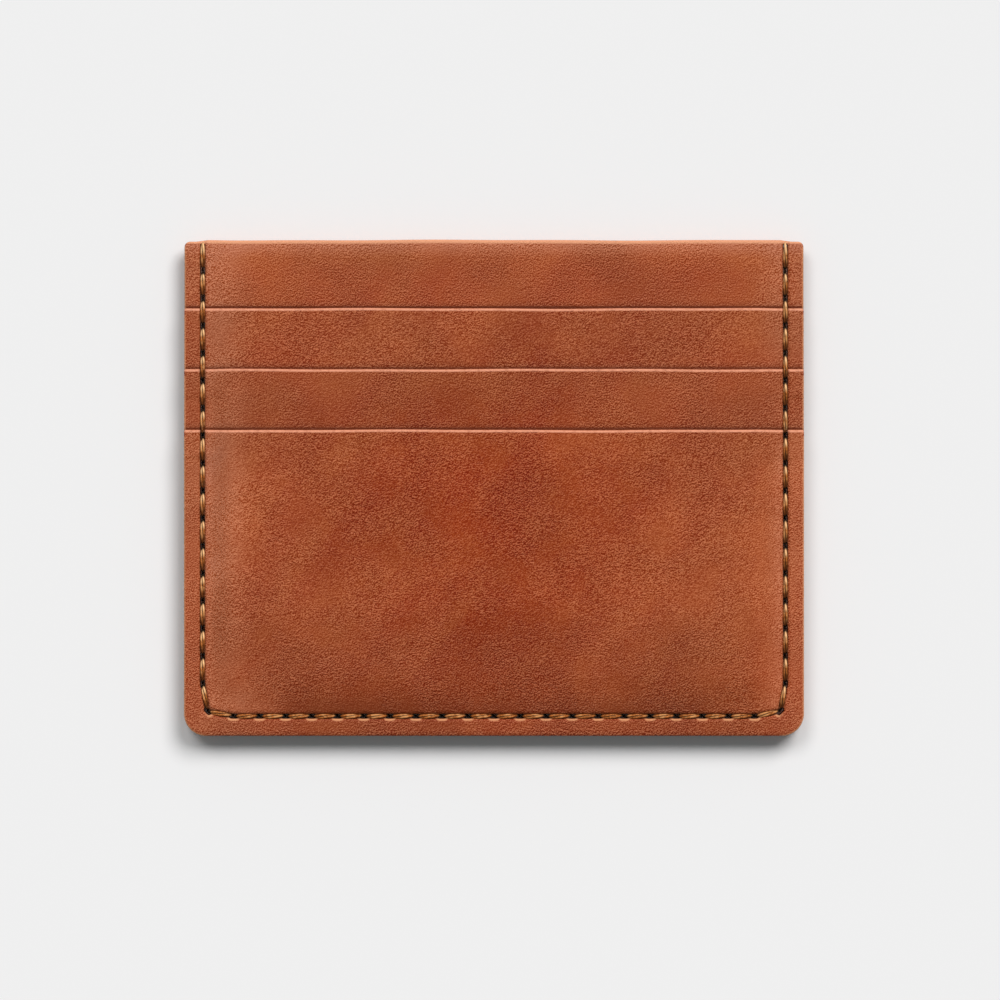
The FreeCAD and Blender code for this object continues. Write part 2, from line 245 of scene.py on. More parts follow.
def layout(outline, holes, seen):
    """A flat cut panel as (points, triangles, edge distance, hole distance).

    seen is the (lowest, highest) y of the part that shows, where the mesh is finest.
    """
    points = [rows_along_seam()]
    points += [inset(outline, distance) for distance in EDGE_ROWS]
    for step, finest in ((FINE_STEP, True), (COARSE_STEP, False)):
        x, y = np.meshgrid(np.arange(-SIDE, SIDE, step), np.arange(FOOT, MOUTH, step))
        grid = np.stack([x.ravel() + step / 2, y.ravel() + step / 2], axis=1)
        shows = (grid[:, 1] > seen[0] - 2) & (grid[:, 1] < seen[1] + 2)
        clear = distance_to_path(grid, SEAM_PATH, False) > SEAM_CLEAR
        clear &= distance_to_path(grid, outline, True) > EDGE_CLEAR
        points.append(grid[(shows == finest) & clear])
    points = np.concatenate(points)
    points = points[within(points, outline)]
    points = points[distance_to_path(points, outline, True) > TOO_NEAR]
    points = points[slot_distance(points, holes) > HOLE_CLEAR]
    for slot in holes:
        for grow in HOLE_ROWS:
            points = np.concatenate([points, ring(slot, grow, RING_COUNT)])

    loops = [outline] + [ring(slot, 0.0, RING_COUNT) for slot in holes]
    places, edges = [], []
    for loop in loops:
        first, count = len(places), len(loop)
        places += list(loop)
        edges += [(first + i, first + (i + 1) % count) for i in range(count)]
    places += list(points)
    flat = delaunay_2d_cdt([Vector(p) for p in places], edges, [], 0, 1e-5)
    corners = np.array([v[:] for v in flat[0]])
    triangles = np.array(flat[2])
    centres = corners[triangles].mean(axis=1)
    kept = within(centres, outline) & (slot_distance(centres, holes) > 0)
    triangles = triangles[kept]
    used, triangles = np.unique(triangles, return_inverse=True)
    triangles = triangles.reshape(-1, 3)
    corners = corners[used]
    a, b, c = (corners[triangles[:, i]] for i in range(3))
    turned = np.cross(b - a, c - a) < 0
    triangles[turned] = triangles[turned][:, ::-1]
    from_edge = distance_to_path(corners, outline, True)
    return corners, triangles, from_edge, slot_distance(corners, holes)


EDGE_RADIUS = 0.36  # of the burnished outer edge
HOLE_RADIUS = 0.14
FLESH_RADIUS = 0.2  # of the edge on the inside, the flesh side
PRESSED = 0.6  # the layers stay pressed this far inside the seam
LOOSE_REACH = 4.4  # and lie quite loose this much further in


def round_over(distance, radius):
    """How far a rounded edge falls away at a distance in from the edge."""
    radius = np.maximum(radius, 1e-6)
    short = np.clip(radius - distance, 0, radius)
    return radius - np.sqrt(np.maximum(radius**2 - short**2, 0))


def seam_groove(x, y, thick):
    """Depth of the creased groove that the rim seam lies in, scalloped at its holes."""
    places = np.stack([x, y], axis=1)
    off = distance_to_path(places, SEAM_PATH, False)
    hole = slot_distance(places, RIM_SLOTS)
    half = GROOVE_HALF_WIDTH + PUCKER * (1 - smooth(0.1, 0.9, hole))
    depth = np.minimum(GROOVE_DEPTH, 0.55 * thick)
    shoulder = SHOULDER * smooth(half, half + 0.35, off) * (1 - smooth(0.9, 2.2, off))
    return depth * (1 - smooth(half - 0.12, half + 0.3, off)) - shoulder


def looseness(x):
    """0 in the pressed rim and 1 where the layers lie loose, across the wallet."""
    return smooth(0, LOOSE_REACH, SEAM_X - PRESSED - np.abs(x))


RIM_SLOTS = rim_slots()


def build_piece(name, corners, faces, marks):
    """A smooth mesh of corners in millimetres. Each mark holds a value for every corner."""
    mesh = bpy.data.meshes.new(name)
    mesh.from_pydata((corners * MM).tolist(), [], faces)
    mesh.polygons.foreach_set("use_smooth", [True] * len(faces))
    for mark, values in marks.items():
        layer = mesh.attributes.new(mark, "FLOAT", "POINT")
        layer.data.foreach_set("value", values)
    piece = bpy.data.objects.new(name, mesh)
    bpy.context.scene.collection.objects.link(piece)
    return piece


def leather_piece(name, outline, holes, seen, shape, lip):
    """Cuts a panel flat, punches it, and forms it over what lies under it.

    shape(x, y) gives its outside height and its thickness. lip is the y of its mouth edge.
    Returns the front piece and the back piece, which mirrors it.
    """
    flat, triangles, from_edge, from_hole = layout(outline, holes, seen)
    x, y = flat[:, 0], flat[:, 1]
    outside, thick = shape(x, y)
    shown = smooth(seen[0] - 0.4, seen[0], y)
    groove = seam_groove(x, y, thick) * shown
    upper = outside - groove
    upper -= round_over(from_edge, np.minimum(EDGE_RADIUS, 0.55 * thick))
    upper -= round_over(from_hole, np.minimum(HOLE_RADIUS, 0.3 * thick))
    lower = outside - thick + round_over(from_edge, np.minimum(FLESH_RADIUS, 0.3 * thick))
    lower = np.minimum(lower, upper - 0.02)

    # No lip is cut quite straight.
    wave = 0.05 * np.sin(x * 0.11 + lip) + 0.03 * np.sin(x * 0.29 + 2 * lip)
    y = y + wave * looseness(x) * (1 - smooth(0, 3, lip - y))

    count = len(x)
    sides = np.concatenate([triangles[:, [0, 1]], triangles[:, [1, 2]], triangles[:, [2, 0]]])
    keys = np.sort(sides, axis=1)
    _, inverse, uses = np.unique(keys, axis=0, return_inverse=True, return_counts=True)
    rim = sides[uses[inverse.ravel()] == 1]
    walls = np.stack([rim[:, 1], rim[:, 0], rim[:, 0] + count, rim[:, 1] + count], axis=1)

    seam_off = distance_to_path(flat, SEAM_PATH, False)
    seam_side = np.where(within(flat, SEAM_PATH), 1.0, -1.0)
    marks = {
        "mm_from_edge": np.minimum(from_edge, 3.0),
        "mm_from_mouth": lip - flat[:, 1],
        "mm_above_next_lip": flat[:, 1] - seen[0],
        "mm_inside_seam": seam_off * seam_side,
        "mm_from_hole": np.minimum(from_hole, 3.0),
    }
    marks = {mark: np.tile(values, 2) for mark, values in marks.items()}
    under = triangles[:, ::-1] + count
    faces = [tuple(f) for part in (triangles, under, walls) for f in part.tolist()]
    pieces = []
    for face, up in (("front", 1), ("back", -1)):
        heights = np.concatenate([upper, lower]) * up + MEETING_Z
        corners = np.stack([np.tile(x, 2), np.tile(y, 2), heights], axis=1)
        outward = faces if up > 0 else [f[::-1] for f in faces]
        pieces.append(build_piece(f"{face}_{name}", corners, outward, marks))
    return pieces


def new_material(name):
    material = bpy.data.materials.new(name)
    material.use_nodes = True
    return material, material.node_tree, material.node_tree.nodes["Principled BSDF"]


def node_group(name, inputs, outputs):
    """An empty node group that takes a Vector and numbers, and its input and output nodes."""
    group = bpy.data.node_groups.new(name, "ShaderNodeTree")
    group.interface.new_socket("Vector", in_out="INPUT", socket_type="NodeSocketVector")
    for socket, value in inputs.items():
        made = group.interface.new_socket(socket, in_out="INPUT", socket_type="NodeSocketFloat")
        made.default_value = value
    for socket in outputs:
        group.interface.new_socket(socket, in_out="OUTPUT", socket_type="NodeSocketFloat")
    return group, group.nodes.new("NodeGroupInput"), group.nodes.new("NodeGroupOutput")


def add(tree, kind, settings=None, **sockets):
    """A node with its settings, and each named input set to a value or joined to a socket."""
    node = tree.nodes.new(kind)
    for key, value in (settings or {}).items():
        setattr(node, key, value)
    for key, value in sockets.items():
        index = key.replace("_", " ")
        if key[:2] == "in" and key[2:].isdigit():
            index = int(key[2:])
        socket = node.inputs[index]
        if isinstance(value, bpy.types.NodeSocket):
            tree.links.new(value, socket)
        else:
            socket.default_value = value
    return node


def noise(tree, place, scale, detail, **more):
    node = add(tree, "ShaderNodeTexNoise", None, Vector=place, Scale=scale, Detail=detail, **more)
    return node.outputs["Fac"]


def math_node(tree, operation, *values):
    sockets = {f"in{i}": value for i, value in enumerate(values)}
    return add(tree, "ShaderNodeMath", {"operation": operation}, **sockets).outputs[0]


def scaled(tree, value, by, plus):
    return math_node(tree, "MULTIPLY_ADD", value, by, plus)


def mix_colours(tree, share, first, second, blend="MIX"):
    """Mixes two colours, each given as a socket or as red, green and blue."""
    first, second = (
        c if isinstance(c, bpy.types.NodeSocket) else (*c, 1.0) for c in (first, second)
    )
    kind = {"data_type": "RGBA", "blend_type": blend}
    return add(tree, "ShaderNodeMix", kind, in0=share, in6=first, in7=second).outputs[2]


def ramp(tree, value, *stops):
    """A 0 to 1 curve through (place, level) stops."""
    node = add(tree, "ShaderNodeValToRGB", None, in0=value)
    elements = node.color_ramp.elements
    while len(elements) < len(stops):
        elements.new(0.5)
    for element, (place, level) in zip(elements, stops):
        element.position = place
        element.color = (level, level, level, 1)
    return node.outputs[0]


def make_pebbles():
    """The relief of oiled full-grain leather: fine pebbles, or slanting creases between them."""
    pebble_scale = 3900.0  # cells to the metre, so a pebble is about a quarter of a millimetre
    bend_scale = 700.0
    bend = (0.0007, 0.0007, 0.0007)  # how far the rows of pebbles wander
    crease_turn = (0.0, 0.0, math.radians(42))
    crease_size = (0.0011, 0.00038, 0.001)
    crease_weight = 0.6
    tree, given, result = node_group("Pebbles", {"Crease share": 0.5}, ["Height"])
    place = given.outputs["Vector"]
    wander = add(tree, "ShaderNodeTexNoise", None, Vector=place, Scale=bend_scale, Detail=1.0)
    shift = add(
        tree, "ShaderNodeVectorMath", {"operation": "MULTIPLY_ADD"},
        in0=wander.outputs["Color"], in1=bend, in2=place,
    ).outputs[0]
    pebbles = noise(tree, shift, pebble_scale, 1.0)
    slant = add(
        tree, "ShaderNodeMapping", {"vector_type": "TEXTURE"},
        Vector=shift, Rotation=crease_turn, Scale=crease_size,
    )
    creases = noise(tree, slant.outputs[0], 1.0, 2.0, Roughness=0.6)
    fine = times(tree, pebbles, 1.0 - crease_weight)
    folds = scaled(tree, creases, crease_weight, fine)
    height = add(
        tree, "ShaderNodeMix", None, Factor=given.outputs["Crease share"],
        in2=pebbles, in3=folds,
    )
    tree.links.new(height.outputs[0], result.inputs["Height"])
    return tree


def make_pebble_grain():
    """The relief, with a painted shade on each pebble's side away from a painted light at the upper
    left, and a painted glint on its side towards it.
    """
    tree, given, result = node_group(
        "Pebble grain", {"Crease share": 0.5}, ["Height", "Shaded side", "Lit side"]
    )
    towards_painted_light = (-0.00005, 0.00008, 0.0)  # the step towards the painted light, from a pebble's shaded side to its lit side
    worn_scale = 130.0
    speck_scale = 5600.0
    speck_contrast = 1.5
    steepness = 1.6
    strength = 2.1
    pebbles = make_pebbles()
    place = given.outputs["Vector"]
    share = given.outputs["Crease share"]
    here = add(tree, "ShaderNodeGroup", {"node_tree": pebbles}, Vector=place, Crease_share=share)
    highlight_lookup = add(
        tree, "ShaderNodeVectorMath", {"operation": "ADD"}, in0=place, in1=towards_painted_light
    ).outputs[0]
    there = add(tree, "ShaderNodeGroup", {"node_tree": pebbles}, Vector=highlight_lookup, Crease_share=share)
    depth = ramp(tree, noise(tree, place, worn_scale, 2.0), (0.38, 0.42), (0.6, 1.0))
    # Height here less height towards the painted light: low on a pebble's shaded side, high on its
    # lit side.
    fall = math_node(tree, "SUBTRACT", here.outputs[0], there.outputs[0])
    specks = noise(tree, highlight_lookup, speck_scale, 1.0)
    specks = scaled(tree, specks, speck_contrast, 0.5 - speck_contrast / 2)
    fall = scaled(tree, fall, steepness, specks)
    pebble_shade = ramp(tree, fall, (0.15, 1.0), (0.5, 0.0))
    pebble_glint = ramp(tree, fall, (0.5, 0.0), (0.85, 1.0))
    tree.links.new(times(tree, here.outputs[0], depth), result.inputs["Height"])
    tree.links.new(times(tree, pebble_shade, depth, strength), result.inputs["Shaded side"])
    tree.links.new(times(tree, pebble_glint, depth, strength), result.inputs["Lit side"])
    return tree


def make_pull_up():
    """The clouds of a pull-up leather, where its oil has moved. 0 is deep and 1 is pale."""
    tree, given, result = node_group("Pull-up clouds", {}, ["Pale", "Shade"])
    broad_scale, mottle_scale, shade_scale = 52.0, 310.0, 75.0
    broad_weight, wisp_weight, mottle_weight = 0.42, 0.46, 0.12
    wisp_turn = (0.0, 0.0, math.radians(52))
    wisp_size = (0.019, 0.0068, 0.012)
    place = given.outputs["Vector"]
    broad = noise(tree, place, broad_scale, 2.0, Distortion=0.4)
    slant = add(
        tree, "ShaderNodeMapping", {"vector_type": "TEXTURE"},
        Vector=place, Rotation=wisp_turn, Scale=wisp_size,
    )
    wisps = noise(tree, slant.outputs[0], 1.0, 3.0, Roughness=0.45, Distortion=0.7)
    mottle = noise(tree, place, mottle_scale, 3.0)
    pale = times(tree, broad, broad_weight)
    pale = scaled(tree, wisps, wisp_weight, pale)
    pale = scaled(tree, mottle, mottle_weight, pale)
    shade = noise(tree, place, shade_scale, 3.0)
    tree.links.new(ramp(tree, pale, (0.41, 0.0), (0.6, 1.0)), result.inputs["Pale"])
    level = ramp(tree, shade, (0.34, 0.0), (0.66, 1.0))
    tree.links.new(level, result.inputs["Shade"])
    return tree


def mark(tree, name):
    return add(tree, "ShaderNodeAttribute", {"attribute_name": name}).outputs["Fac"]


def rising(tree, value, low, high):
    """0 below low, 1 above high, and an even S curve in between."""
    return add(
        tree, "ShaderNodeMapRange", {"interpolation_type": "SMOOTHSTEP"},
        Value=value, in1=low, in2=high,
    ).outputs[0]


def falling(tree, value, low, high):
    return math_node(tree, "SUBTRACT", 1.0, rising(tree, value, low, high))


def band(tree, value, start, full, fade, end):
    """1 between full and fade, 0 outside start and end."""
    return times(tree, rising(tree, value, start, full), falling(tree, value, fade, end))


def times(tree, *values):
    product = values[0]
    for value in values[1:]:
        product = math_node(tree, "MULTIPLY", product, value)
    return product


def add_clamp(tree, *values):
    """The values' sum, held between 0 and 1."""
    total = values[0]
    for value in values[1:]:
        total = math_node(tree, "ADD", total, value)
    return add(tree, "ShaderNodeClamp", None, Value=total).outputs[0]


PEBBLE_GRAIN = make_pebble_grain()
PULL_UP = make_pull_up()

# Linear colours of the dyed hide and its cut edge, and of the painted highlights and painted shade
# laid on it.
DEEP_COGNAC = (0.285, 0.03, 0.0)
PALE_COGNAC = (0.38, 0.084, 0.017)
SEAM_AND_MOUTH_HIGHLIGHT = (0.48, 0.16, 0.085)
DRY_HIDE = (0.38, 0.11, 0.046)
PEBBLE_PAINTED_SHADE = (0.67, 0.36, 0.08)
PEBBLE_PAINTED_GLINT = (0.165, 0.078, 0.042)
CUT_EDGE = (0.15, 0.05, 0.02)
CREVICE_SHADE = (0.12, 0.018, 0.003)
LIP_HIGHLIGHT = (0.8, 0.335, 0.2)
MOUTH_HIGHLIGHT = (0.86, 0.4, 0.22)
EDGE_HIGHLIGHT = (0.8, 0.38, 0.18)
GROOVE_SHADE = (0.1, 0.028, 0.008)
HOLE_SHADE = (0.004, 0.002, 0.001)

# Where the hide is paler or darker: partly its own tone, partly painted highlight and painted
# shade. Lengths are in millimetres, apart from the ones across, in metres.
PALENESS_CENTRE = 0.005  # the paleness of both sides, partly painted highlight, is centred this far to the right, so the left side shows paler
SIDE_FADE = (0.028, 0.043)  # across, where the painted shade above the foot fades out towards the sides
DRY_SQUASH = 1.15  # the field that stays moist is this much wider than high
DRY_SHIFT = (-1.0, 5.5, 0.0)
DRY_WANDER = 14.0  # how unevenly it has dried
DRY_REACH = (16.0, 48.0)  # from the moist middle to where the hide is as dry as it gets
DRYNESS = 0.26
MARGIN_HIGHLIGHT = 0.35  # how strong the painted highlight beside the seam is in the margin outside it
MOUTH_FADE = (6.0, 0.7)  # how far the painted highlight reaches from a full panel's mouth, and how pale
LIP_FADE = (9.0, 0.2)  # the same for a pocket's lip: painted light, paler at the lip and darker down the strip
# Painted shade on the slope down into the foot seam, in bands above the foot.
FOOT_SLOPE_SHADE = ((0.1, 13.0, 24.0), (0.12, 4.0, 9.0), (0.16, 3.8, 7.0))  # share, from, to
TAUT_SMOOTHNESS = 0.5  # how much of the grain is pulled flat just above the foot seam
FIBRE_SIZE = (0.0005, 0.0005, 0.00008)
SATIN = 0.46  # the roughness of the waxed hide
GRAIN_RELIEF = 0.0002  # height of the grain in metres


def where_marks(tree):
    """The sockets that say where a point of the leather is."""
    place = add(tree, "ShaderNodeTexCoord").outputs["Object"]
    axes = add(tree, "ShaderNodeSeparateXYZ", None, Vector=place)
    x, y = axes.outputs["X"], axes.outputs["Y"]
    return {
        "place": place,
        "far_x": math_node(tree, "ABSOLUTE", x),
        "pale_x": math_node(tree, "ABSOLUTE", math_node(tree, "SUBTRACT", x, PALENESS_CENTRE)),
        "y": times(tree, y, 1 / MM),
        "edge": mark(tree, "mm_from_edge"),
        "mouth": mark(tree, "mm_from_mouth"),
        "next_lip": mark(tree, "mm_above_next_lip"),
        "seam": mark(tree, "mm_inside_seam"),
        "hole": mark(tree, "mm_from_hole"),
    }


def dyed_colour(tree, at, clouds, at_mouth):
    """The hide's colour with its clouds, and how pale it is from 0 to 1.

    It is paler and drier towards the rim. Beside the seam and along its mouth and lips it has a
    painted highlight, where the leather swells or rounds over towards the light.
    """
    about_middle = add(
        tree, "ShaderNodeVectorMath", {"operation": "MULTIPLY_ADD"},
        in0=at["place"], in1=(1 / MM, DRY_SQUASH / MM, 0.0), in2=DRY_SHIFT,
    ).outputs[0]
    reach = add(tree, "ShaderNodeVectorMath", {"operation": "LENGTH"}, in0=about_middle)
    reach = scaled(tree, clouds.outputs["Shade"], DRY_WANDER, reach.outputs["Value"])
    dry = rising(tree, reach, *DRY_REACH)
    at_side = rising(tree, at["pale_x"], 0.006, 0.045)
    inside = rising(tree, at["seam"], 0.0, 0.4)
    # Painted highlight on the slopes just inside the seam, weaker on the margin outside it, and
    # stronger on the left.
    beside_seam = times(
        tree, falling(tree, at["seam"], 0.5, 9.5), rising(tree, at["pale_x"], 0.036, 0.046),
        scaled(tree, inside, 1.0 - MARGIN_HIGHLIGHT, MARGIN_HIGHLIGHT),
    )
    # Painted highlight along a full panel's mouth and a pocket's lip, fading down the strip.
    lip_reach, lip_paleness = MOUTH_FADE if at_mouth else LIP_FADE
    pale = add_clamp(
        tree,
        times(tree, clouds.outputs["Pale"], 0.56),
        times(tree, at_side, 0.2),
        times(tree, beside_seam, 0.5),
        times(tree, falling(tree, at["mouth"], 0.2, lip_reach), lip_paleness),
        -0.06,
    )
    colour = mix_colours(tree, pale, DEEP_COGNAC, PALE_COGNAC)
    colour = mix_colours(tree, times(tree, dry, DRYNESS), colour, DRY_HIDE)
    # Painted highlight beside the seam and, on a full panel, along the top of the mouth.
    pale_spots = scaled(tree, clouds.outputs["Pale"], 0.6, 0.42)
    highlight_share = times(tree, beside_seam, pale_spots)
    if at_mouth:
        at_top = times(tree, falling(tree, at["mouth"], 0.5, 3.2), 0.85)
        highlight_share = add_clamp(tree, highlight_share, at_top)
    return mix_colours(tree, highlight_share, colour, SEAM_AND_MOUTH_HIGHLIGHT), pale


def above_foot_seam(tree, at, near, far):
    """1 just inside the foot seam, and 0 above far millimetres or near the sides."""
    return times(
        tree, falling(tree, at["y"], FOOT + near, FOOT + far),
        rising(tree, at["seam"], -0.2, 0.2), falling(tree, at["far_x"], *SIDE_FADE),
    )


def darken(tree, shade, where, share):
    """Takes a share off the shade where a mask is 1."""
    return times(tree, shade, scaled(tree, where, -share, 1.0))


def tone_and_painted_shade(tree, at, clouds, tone, on_top):
    """How light the hide is: its mottled tone, with painted shade above the foot seam, on the
    rolled foot edge and under the next lip, and darker along the foot margin.
    """
    shade = scaled(tree, clouds.outputs["Shade"], 0.2 * tone, 0.9 * tone)
    # Painted shade where the leather slopes down into the foot seam.
    for share, near, far in FOOT_SLOPE_SHADE:
        shade = darken(tree, shade, above_foot_seam(tree, at, near, far), share)
    # Darker along the foot margin outside the seam.
    margin = times(
        tree, falling(tree, at["y"], FOOT + 2.4, FOOT + 3.2),
        falling(tree, at["far_x"], 0.04, 0.048),
    )
    shade = darken(tree, shade, margin, 0.12)
    # Painted shade on the foot edge, where it rolls over and away from the light.
    rolled = times(
        tree, falling(tree, at["y"], FOOT + 0.4, FOOT + 1.5), falling(tree, at["edge"], 0.4, 1.4)
    )
    shade = darken(tree, shade, rolled, 0.2)
    # Painted shade just above the lip of the piece that lies over this one.
    if not on_top:
        shade = darken(tree, shade, falling(tree, at["next_lip"], -0.2, 1.5), 0.3)
    return shade


def lip_and_edge_colour(tree, colour, at, hide, crevice_shade_share, at_mouth, on_top):
    """Paints a highlight on the crests of the cut edges and a shade in the gap under the next lip,
    and shows the fibres on the cut itself.
    """
    # Painted highlight along the rounded crest of the mouth edge, and of a pocket's lip.
    if at_mouth:
        crest = times(tree, falling(tree, at["mouth"], 0.42, 0.7), 0.72)
        colour = mix_colours(tree, crest, colour, MOUTH_HIGHLIGHT)
    else:
        highlight_lookup = ramp(tree, noise(tree, hide, 1300.0, 2.0), (0.36, 0.72), (0.52, 1.0))
        crest = times(tree, band(tree, at["mouth"], 0.03, 0.1, 0.32, 0.54), highlight_lookup, 0.95)
        colour = mix_colours(tree, crest, colour, LIP_HIGHLIGHT)
    if not on_top:
        # Painted shade in the gap just above the lip of the piece over this one.
        gap = times(tree, falling(tree, at["next_lip"], 0.24, 0.44), crevice_shade_share)
        colour = mix_colours(tree, gap, colour, CREVICE_SHADE)
    # Painted highlight on the rounded crest of the side edges.
    side_edge = times(
        tree, falling(tree, at["edge"], 0.1, 0.32), rising(tree, at["far_x"], 0.0455, 0.0475),
        rising(tree, at["mouth"], 1.0, 1.2), 0.5,
    )
    colour = mix_colours(tree, side_edge, colour, EDGE_HIGHLIGHT)
    fibres = add(
        tree, "ShaderNodeMapping", {"vector_type": "TEXTURE"}, Vector=hide, Scale=FIBRE_SIZE
    )
    fibre = noise(tree, fibres.outputs[0], 1.0, 3.0)
    cut = mix_colours(tree, fibre, tuple(0.5 * c for c in CUT_EDGE), CUT_EDGE)
    return mix_colours(tree, falling(tree, at["edge"], 0.004, 0.018), colour, cut)


def seam_colour(tree, colour, at, at_mouth):
    """Paints shade into the groove under the thread, a highlight on the pucker beside each hole,
    and black shade on the holes' walls.

    Returns the colour and the mask of the holes' walls.
    """
    # Painted shade in the groove the thread lies in.
    off_seam = math_node(tree, "ABSOLUTE", at["seam"])
    marked = times(tree, falling(tree, off_seam, 0.36, 0.52), 0.92)
    if at_mouth:
        marked = times(tree, marked, rising(tree, at["mouth"], 0.45, 0.75))
    colour = mix_colours(tree, marked, colour, GROOVE_SHADE)
    # Painted highlight on the groove's wall beside each hole, outside the seam, where it faces the
    # light.
    pucker = times(
        tree, band(tree, at["hole"], 0.06, 0.16, 0.3, 0.58),
        falling(tree, at["seam"], -0.46, -0.36), falling(tree, at["far_x"], 0.0455, 0.047), 0.7,
    )
    colour = mix_colours(tree, pucker, colour, EDGE_HIGHLIGHT)
    # Black painted shade on the holes' walls.
    in_hole = falling(tree, at["hole"], 0.03, 0.12)
    return mix_colours(tree, in_hole, colour, HOLE_SHADE), in_hole


def make_leather(name, offset, cloud_at, tone, crevice_shade_share, at_mouth, on_top):
    """Oiled cognac leather. offset and cloud_at pick its part of the hide.

    tone is how light the piece is, and the argument after it how strong the painted shade is in the
    gap behind the next lip. at_mouth is True for a full panel, whose top edge is the wallet's mouth
    edge, with a painted highlight along it. The pockets' lips carry a painted highlight along their
    crest. on_top is True where no other piece's lip lies over this one.
    """
    material, tree, shader = new_material(name)
    at = where_marks(tree)
    place = at["place"]
    hide = add(tree, "ShaderNodeMapping", None, Vector=place, Location=offset).outputs[0]
    patch = add(tree, "ShaderNodeMapping", None, Vector=place, Location=(*cloud_at, 0.0)).outputs[0]
    clouds = add(tree, "ShaderNodeGroup", {"node_tree": PULL_UP}, Vector=patch)

    colour, pale = dyed_colour(tree, at, clouds, at_mouth)
    shade = tone_and_painted_shade(tree, at, clouds, tone, on_top)
    shades = add(tree, "ShaderNodeCombineXYZ", None, X=shade, Y=shade, Z=shade)
    colour = mix_colours(tree, 1.0, colour, shades.outputs[0], "MULTIPLY")

    crease_share = add_clamp(tree, times(tree, pale, 0.62), -0.04)
    grain = add(
        tree, "ShaderNodeGroup", {"node_tree": PEBBLE_GRAIN},
        Vector=hide, Crease_share=crease_share,
    )
    taut = above_foot_seam(tree, at, 4.5, 7.0)
    grain_share = scaled(tree, taut, -TAUT_SMOOTHNESS, 1.0)
    # Painted shade on the pebbles' shaded sides and painted glints on their lit sides, as if lit
    # from the upper left.
    pebble_shade = times(tree, grain.outputs["Shaded side"], grain_share)
    pebble_glint = times(tree, grain.outputs["Lit side"], grain_share)
    colour = mix_colours(tree, pebble_shade, colour, PEBBLE_PAINTED_SHADE, "MULTIPLY")
    colour = mix_colours(tree, pebble_glint, colour, PEBBLE_PAINTED_GLINT, "ADD")

    colour = lip_and_edge_colour(tree, colour, at, hide, crevice_shade_share, at_mouth, on_top)
    colour, in_hole = seam_colour(tree, colour, at, at_mouth)
    tree.links.new(colour, shader.inputs["Base Color"])

    rough = scaled(tree, grain.outputs["Shaded side"], 0.1, SATIN)
    rough = add_clamp(tree, rough, times(tree, in_hole, 1.0 - SATIN))
    tree.links.new(rough, shader.inputs["Roughness"])
    shader.inputs["Specular IOR Level"].default_value = 0.11
    bump = add(
        tree, "ShaderNodeBump", None, Height=grain.outputs["Height"], Distance=GRAIN_RELIEF
    )
    tree.links.new(bump.outputs[0], shader.inputs["Normal"])
    return material


CLOUDS_AT = (-2.105, 2.068)  # the pieces of a face are cut from one patch, so its clouds run on
BACK_SHIFT = 0.31  # the back face is cut from a patch this far along the hide


def finish_leather(
    pieces, node, offset, tone=1.0, crevice_shade_share=0.94, at_mouth=False, on_top=False
):
    """Gives the front and back pieces their leather, and puts them in the wallet."""
    for face, piece, shift in zip(("front", "back"), pieces, (0.0, BACK_SHIFT)):
        place = (offset[0] + shift, offset[1], offset[2])
        cloud_at = (CLOUDS_AT[0] + shift, CLOUDS_AT[1])
        name = f"{face}_{node}_hide"
        leather = make_leather(name, place, cloud_at, tone, crevice_shade_share, at_mouth, on_top)
        piece.data.materials.append(leather)
        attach(piece, "root")
        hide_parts(f"{face}_{node}")


HEM_HOLE_LENGTH = 0.8
HEM_HOLE_WIDTH = 0.36
MIDDLE_HEM = FOOT + 13.2
LIP_STEP = 9.8
UPPER_HEM = MIDDLE_HEM + LIP_STEP
HEM_END = 41.0
HEM_PITCH = 4.1


def hem_slots(hem):
    xs = even_steps(-HEM_END, HEM_END, HEM_PITCH)
    return stadiums(np.array([(x, hem, 1.0, 0.0) for x in xs]), HEM_HOLE_LENGTH, HEM_HOLE_WIDTH)


PARTING = FOOT + 3.8  # the panel and the lower pocket start to part from the rest here,
PARTED = FOOT + 8.8  # and lie quite loose from here up


def panel_shape(x, y):
    loose = HIDE + (PANEL_LOOSE - HIDE) * smooth(PARTING, PARTED, y)
    return HIDE + looseness(x) * (loose - HIDE), np.full(len(x), HIDE)


rim_side = SIDE - 0.06  # each layer is trimmed a hair inside the one over it
panel_outline = mirrored_outline([
    (rim_side, FOOT + 0.1, FOOT_RADIUS),
    (rim_side, MOUTH - MOUTH_DROP, MOUTH_RADIUS),
    (SEAM_X + 1.0, MOUTH - MOUTH_DROP, 1.0),
    (SEAM_X - 0.8, MOUTH, 1.0),
])
UPPER_LIP = MOUTH - 11.0
panels = leather_piece(
    "panel_leather",
    panel_outline,
    RIM_SLOTS + hem_slots(UPPER_HEM) + hem_slots(MIDDLE_HEM),
    (UPPER_LIP, MOUTH),
    panel_shape,
    MOUTH,
)
finish_leather(panels, "panel", (0.0, 0.0, 0.0), at_mouth=True)


# -------------------- the upper pockets
# A T of thinner leather on each face: the full-width head is caught in the rim seam, and the
# stem hangs between the seams as the pocket's front. Its mouth edge is rounded and burnished.

SLIP = 0.5
SKIVED = 0.15
TAB = 14.0
STEM = SIDE - 6.4
LIP_RADIUS = 0.35
HEM_ALLOWANCE = 2.0
UPPER_TAIL = UPPER_LIP - TAB
HEMMED = 1.6  # outside of a slip pocket at its hem
HEM_HELD, HEM_FREE = 2.0, 6.8  # how far above its hem a pocket is held flat, and is quite loose
UPPER_LOOSE = 1.75  # outside of the upper pocket where it lies loose


def tab_thickness(y, tail):
    """A slip pocket's thickness in the rim, skived thin towards the foot of its tabs."""
    return np.clip(SKIVED + (y - tail) / TAB * (SLIP - SKIVED), 0, SLIP)


def tab_under(y, tail):
    """How far a tab lifts the piece that lies over it in the rim."""
    return tab_thickness(y, tail) * smooth(tail - 0.6, tail, y)


